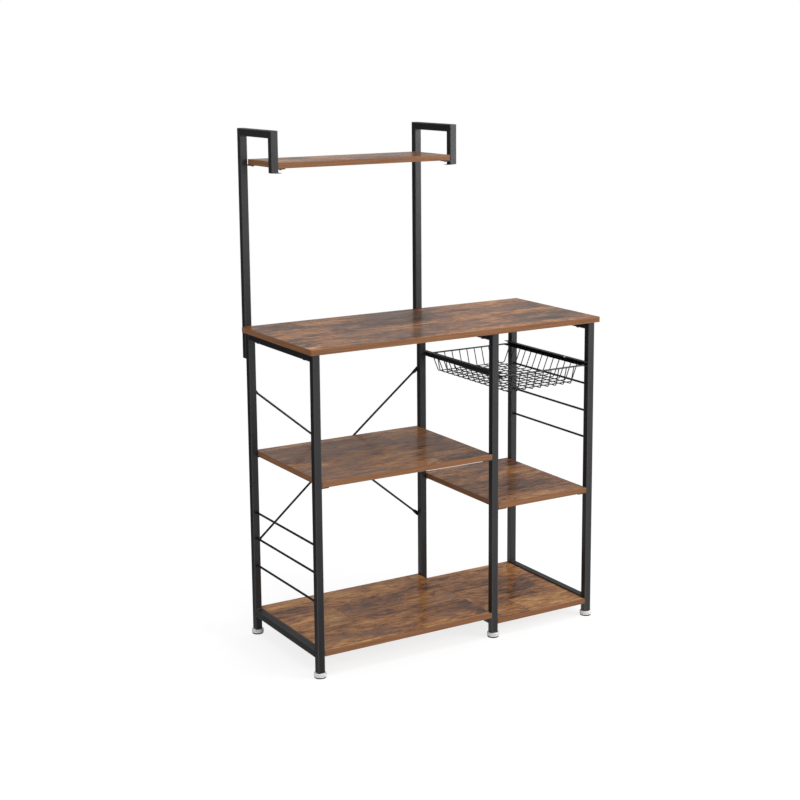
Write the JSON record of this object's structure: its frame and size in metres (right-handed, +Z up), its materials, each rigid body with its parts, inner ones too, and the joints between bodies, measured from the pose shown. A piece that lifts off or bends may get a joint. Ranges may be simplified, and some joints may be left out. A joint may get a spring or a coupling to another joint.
{
  "type": "microwave stand",
  "caption": "Free-standing kitchen rack of black square steel tube and wood-look boards, with a raised rear shelf, side rods, a rear cross brace, a sliding wire basket and levelling feet.",
  "frame": {"origin": "on the floor, under the middle of the object's box", "axes": "+Z up, -Y towards the front, +X to the right as seen from the front, where the basket is"},
  "size_m": [0.9, 0.4232, 1.396],
  "materials": {
    "frame_steel": "satin black powder coat",
    "rod_steel": "satin black powder coat on round rod",
    "basket_wire": "black coated wire",
    "black_screw": "black coated screw",
    "board": "rustic brown wood-look laminate on board, satin",
    "foot_plastic": "pale grey moulded plastic",
    "foot_pad": "dark rubber",
    "clip_nylon": "pale nylon"
  },
  "bodies": {
    "frame": {"left_front_post": "frame_steel", "left_rear_post": "frame_steel", "middle_front_post": "frame_steel", "middle_rear_post": "frame_steel", "right_front_post": "frame_steel", "right_rear_post": "frame_steel", "left_top_bar": "frame_steel", "middle_top_bar": "frame_steel", "right_top_bar": "frame_steel", "left_bottom_bar": "frame_steel", "middle_bottom_bar": "frame_steel", "right_bottom_bar": "frame_steel", "left_upper_side_rod": "rod_steel", "left_middle_side_rod": "rod_steel", "left_lower_side_rod": "rod_steel", "right_upper_side_rod": "rod_steel", "right_middle_side_rod": "rod_steel", "right_lower_side_rod": "rod_steel", "left_hutch_post": "frame_steel", "right_hutch_post": "frame_steel", "falling_brace": "rod_steel", "rising_brace": "rod_steel", "tabletop": "board", "left_middle_shelf": "board", "right_middle_shelf": "board", "left_bottom_shelf": "board", "right_bottom_shelf": "board", "top_shelf": "board", "left_basket_rail": "frame_steel", "right_basket_rail": "frame_steel", "left_rail_clip": "clip_nylon", "right_rail_clip": "clip_nylon", "tabletop_screw_left_front": "black_screw", "tabletop_screw_left_rear": "black_screw", "tabletop_screw_middle_front": "black_screw", "tabletop_screw_middle_rear": "black_screw", "tabletop_screw_right_front": "black_screw", "tabletop_screw_right_rear": "black_screw", "hutch_bolt_left_upper": "black_screw", "hutch_bolt_left_lower": "black_screw", "hutch_bolt_right_upper": "black_screw", "hutch_bolt_right_lower": "black_screw", "brace_bolt_left_upper": "black_screw", "brace_bolt_left_lower": "black_screw", "brace_bolt_right_upper": "black_screw", "brace_bolt_right_lower": "black_screw"},
    "basket": {"basket_rim": "basket_wire", "basket_wires": "basket_wire"},
    "left_front_leveller": {"left_front_foot": "foot_plastic", "left_front_foot_pad": "foot_pad"},
    "left_rear_leveller": {"left_rear_foot": "foot_plastic", "left_rear_foot_pad": "foot_pad"},
    "middle_front_leveller": {"middle_front_foot": "foot_plastic", "middle_front_foot_pad": "foot_pad"},
    "middle_rear_leveller": {"middle_rear_foot": "foot_plastic", "middle_rear_foot_pad": "foot_pad"},
    "right_front_leveller": {"right_front_foot": "foot_plastic", "right_front_foot_pad": "foot_pad"},
    "right_rear_leveller": {"right_rear_foot": "foot_plastic", "right_rear_foot_pad": "foot_pad"}
  },
  "joints": [
    {"name": "basket_slide", "type": "slide", "parent": "frame", "child": "basket", "axis": [0, -1, 0], "range_m": [0, 0.26]},
    {"name": "left_front_foot_screw", "type": "slide", "parent": "frame", "child": "left_front_leveller", "axis": [0, 0, -1], "range_m": [0, 0.008]},
    {"name": "left_rear_foot_screw", "type": "slide", "parent": "frame", "child": "left_rear_leveller", "axis": [0, 0, -1], "range_m": [0, 0.008]},
    {"name": "middle_front_foot_screw", "type": "slide", "parent": "frame", "child": "middle_front_leveller", "axis": [0, 0, -1], "range_m": [0, 0.008]},
    {"name": "middle_rear_foot_screw", "type": "slide", "parent": "frame", "child": "middle_rear_leveller", "axis": [0, 0, -1], "range_m": [0, 0.008]},
    {"name": "right_front_foot_screw", "type": "slide", "parent": "frame", "child": "right_front_leveller", "axis": [0, 0, -1], "range_m": [0, 0.008]},
    {"name": "right_rear_foot_screw", "type": "slide", "parent": "frame", "child": "right_rear_leveller", "axis": [0, 0, -1], "range_m": [0, 0.008]}
  ]
}
